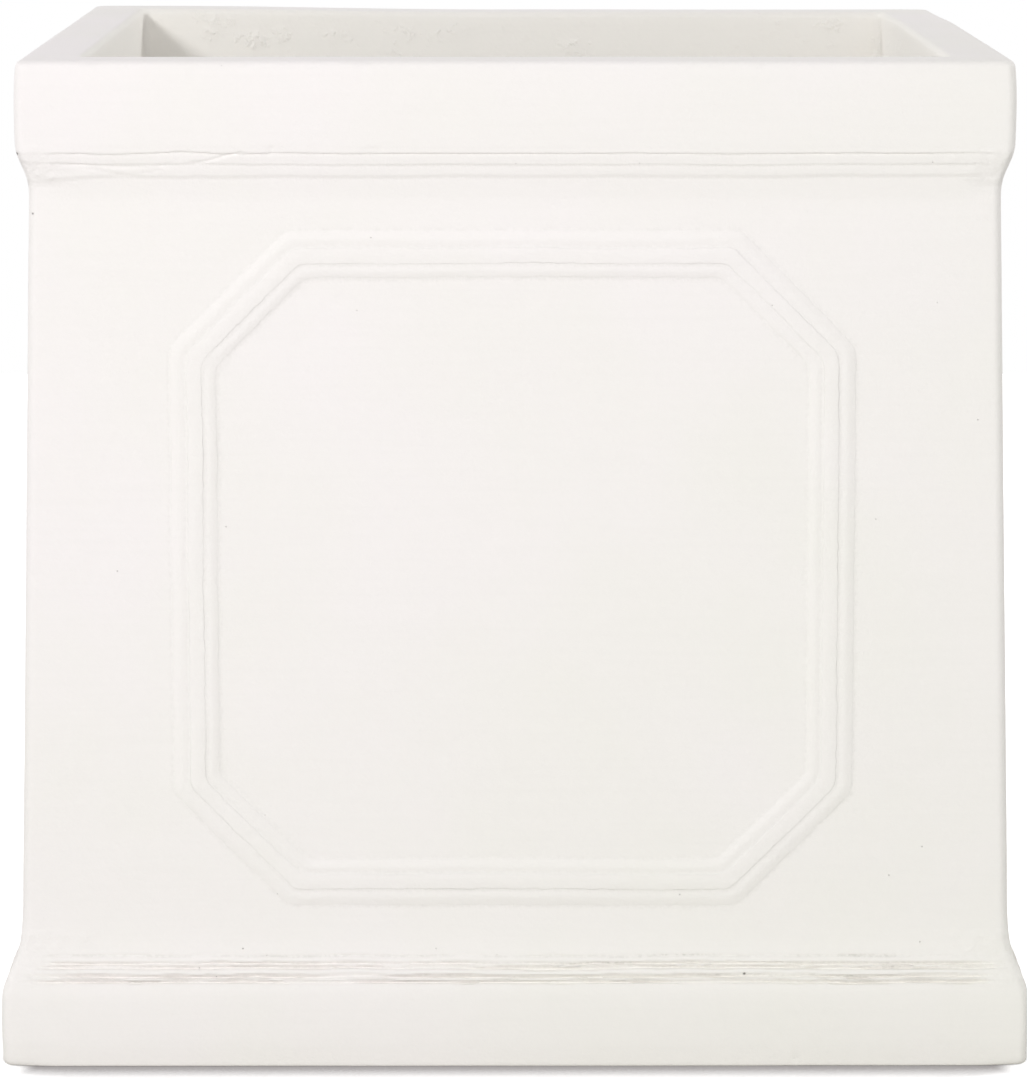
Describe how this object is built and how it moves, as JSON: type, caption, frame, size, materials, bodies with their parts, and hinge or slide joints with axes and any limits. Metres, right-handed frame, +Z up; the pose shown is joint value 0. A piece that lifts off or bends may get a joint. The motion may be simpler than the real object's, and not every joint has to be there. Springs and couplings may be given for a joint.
{
  "type": "versailles planter",
  "caption": "White cast square planter box with a banded rim, a plinth, a raised eight-sided frame on each face, and a floor with a drain plug.",
  "frame": {"origin": "centre of the foot, on the ground", "axes": "+Z up, out of the mouth; -Y out of the front face; +X to the right of someone facing the front"},
  "size_m": [0.4202, 0.4202, 0.41],
  "materials": {
    "painted_cast": "matte, hand-finished warm white",
    "trowelled_cast": "matte, rough, trowelled",
    "glass_fibre_mesh": "open weave soaked in slurry",
    "rubber": "moulded, matte black"
  },
  "bodies": {
    "casting": {"front_panel": "painted_cast", "right_panel": "painted_cast", "back_panel": "painted_cast", "left_panel": "painted_cast", "mitre_joint_front_right": "painted_cast", "mesh_tape_front_right": "glass_fibre_mesh", "corner_cove_front_right": "trowelled_cast", "mitre_joint_back_right": "painted_cast", "mesh_tape_back_right": "glass_fibre_mesh", "corner_cove_back_right": "trowelled_cast", "mitre_joint_back_left": "painted_cast", "mesh_tape_back_left": "glass_fibre_mesh", "corner_cove_back_left": "trowelled_cast", "mitre_joint_front_left": "painted_cast", "mesh_tape_front_left": "glass_fibre_mesh", "corner_cove_front_left": "trowelled_cast", "floor_slab": "trowelled_cast", "floor_cove": "trowelled_cast"},
    "drain_plug": {"drain_plug": "rubber"}
  },
  "joints": [
    {"name": "plug_lift", "type": "slide", "parent": "casting", "child": "drain_plug", "axis": [0, 0, 1], "range_m": [0, 0.04]}
  ]
}
